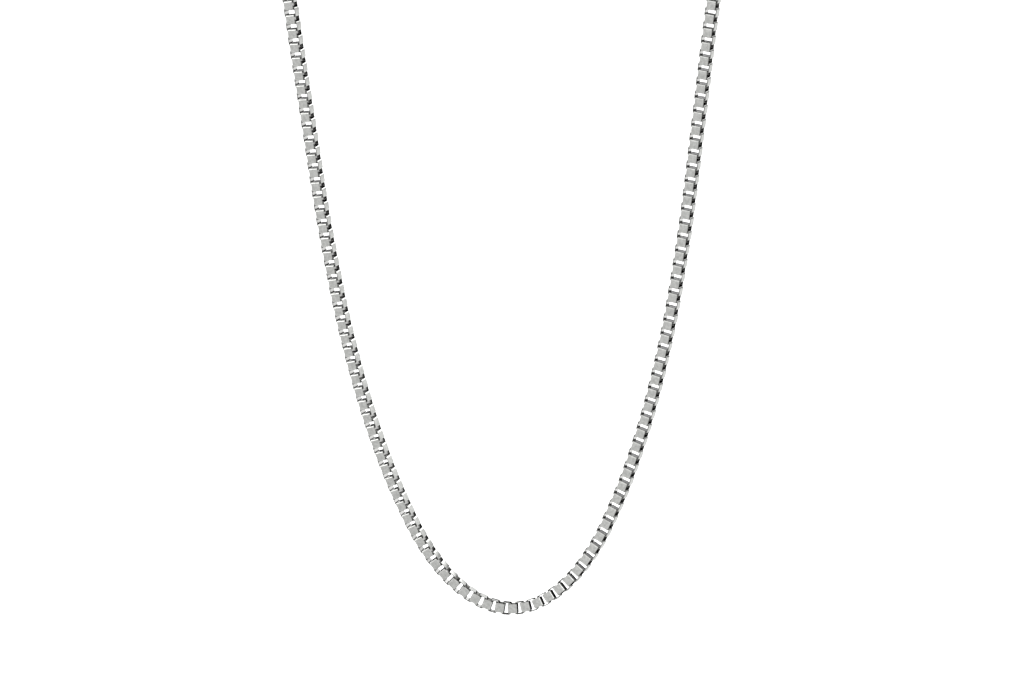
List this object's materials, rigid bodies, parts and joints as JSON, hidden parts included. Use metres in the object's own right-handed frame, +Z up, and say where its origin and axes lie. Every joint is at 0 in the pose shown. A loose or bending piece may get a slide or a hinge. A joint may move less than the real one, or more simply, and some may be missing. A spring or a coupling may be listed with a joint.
{
  "type": "box chain necklace",
  "caption": "Box chain necklace of square interlocked strap links in polished silver, a closed loop hanging in a long U from the nape, with a plain barrel clasp behind.",
  "frame": {"origin": "middle of the clasp, at the nape, where the chain hangs on the neck", "axes": "+Z up, -Y to the front, the way the wearer looks, +X to the wearer's left"},
  "size_m": [0.1264, 0.0649, 0.2095],
  "materials": {
    "silver": "polished sterling silver"
  },
  "bodies": {
    "root": {"chain_front": "silver", "chain_back": "silver", "clasp": "silver"}
  },
  "joints": []
}
